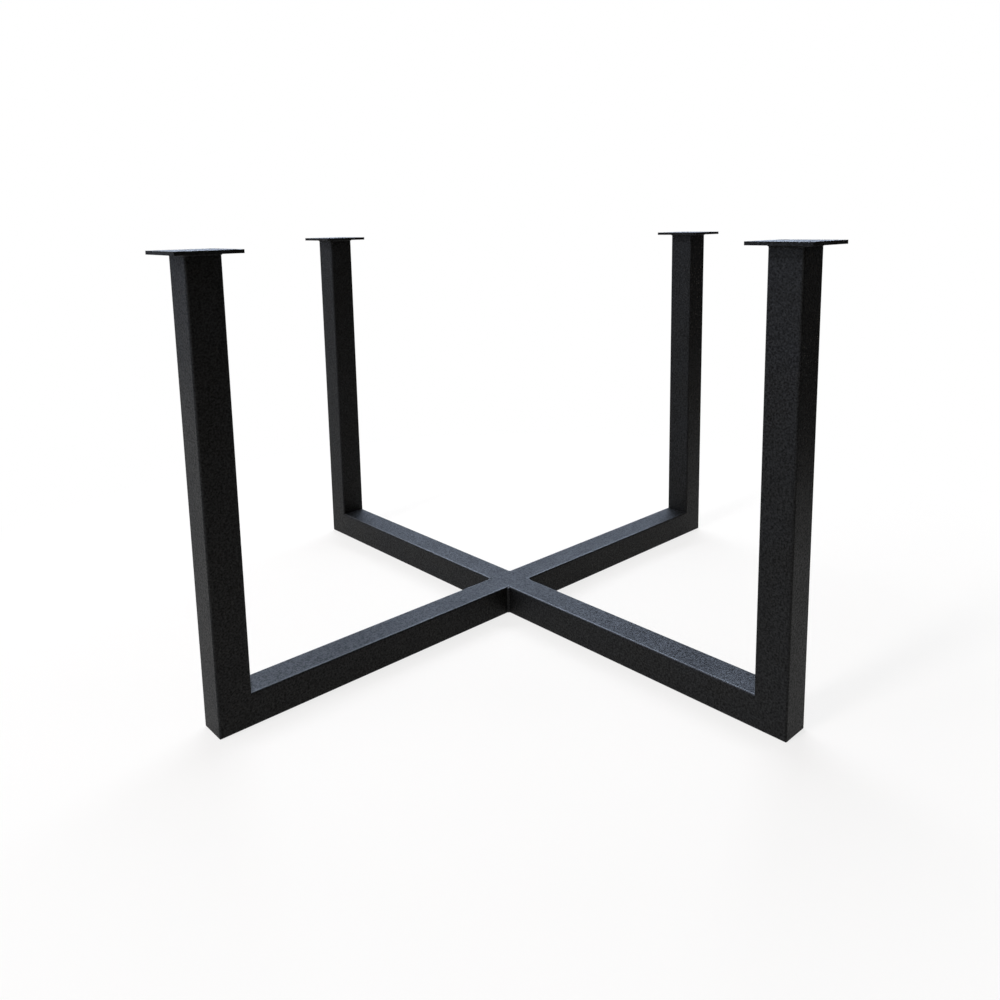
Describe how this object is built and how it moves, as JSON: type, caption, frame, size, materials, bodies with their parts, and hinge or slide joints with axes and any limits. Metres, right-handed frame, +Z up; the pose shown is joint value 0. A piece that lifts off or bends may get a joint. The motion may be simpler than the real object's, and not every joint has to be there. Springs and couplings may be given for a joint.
{
  "type": "coffee table base",
  "caption": "Welded black steel coffee table base: box section rails crossing at right angles on the floor, with an upright and a small screw plate at each end.",
  "frame": {"origin": "the point on the floor under the crossing of the two rails", "axes": "+Z is up; the front seen in the picture is -Y, and the four arms lie on the diagonals between X and Y"},
  "size_m": [0.5374, 0.5374, 0.4],
  "materials": {
    "tube_coat": "satin black powder coat with a fine texture, on box section",
    "plate_coat": "satin black powder coat with a fine texture, on flat plate",
    "weld_coat": "satin black powder coat with a fine texture, over weld metal"
  },
  "bodies": {
    "root": {"through_rail": "tube_coat", "half_rail_front_right": "tube_coat", "half_rail_back_left": "tube_coat", "seam_weld_front_right_top": "weld_coat", "seam_weld_front_right_bottom": "weld_coat", "seam_weld_back_left_top": "weld_coat", "seam_weld_back_left_bottom": "weld_coat", "cross_weld_front": "weld_coat", "cross_weld_right": "weld_coat", "cross_weld_back": "weld_coat", "cross_weld_left": "weld_coat", "upright_front_left": "tube_coat", "corner_weld_front_left": "weld_coat", "top_plate_front_left": "plate_coat", "plate_weld_front_left": "weld_coat", "upright_front_right": "tube_coat", "corner_weld_front_right": "weld_coat", "top_plate_front_right": "plate_coat", "plate_weld_front_right": "weld_coat", "upright_back_right": "tube_coat", "corner_weld_back_right": "weld_coat", "top_plate_back_right": "plate_coat", "plate_weld_back_right": "weld_coat", "upright_back_left": "tube_coat", "corner_weld_back_left": "weld_coat", "top_plate_back_left": "plate_coat", "plate_weld_back_left": "weld_coat"}
  },
  "joints": []
}
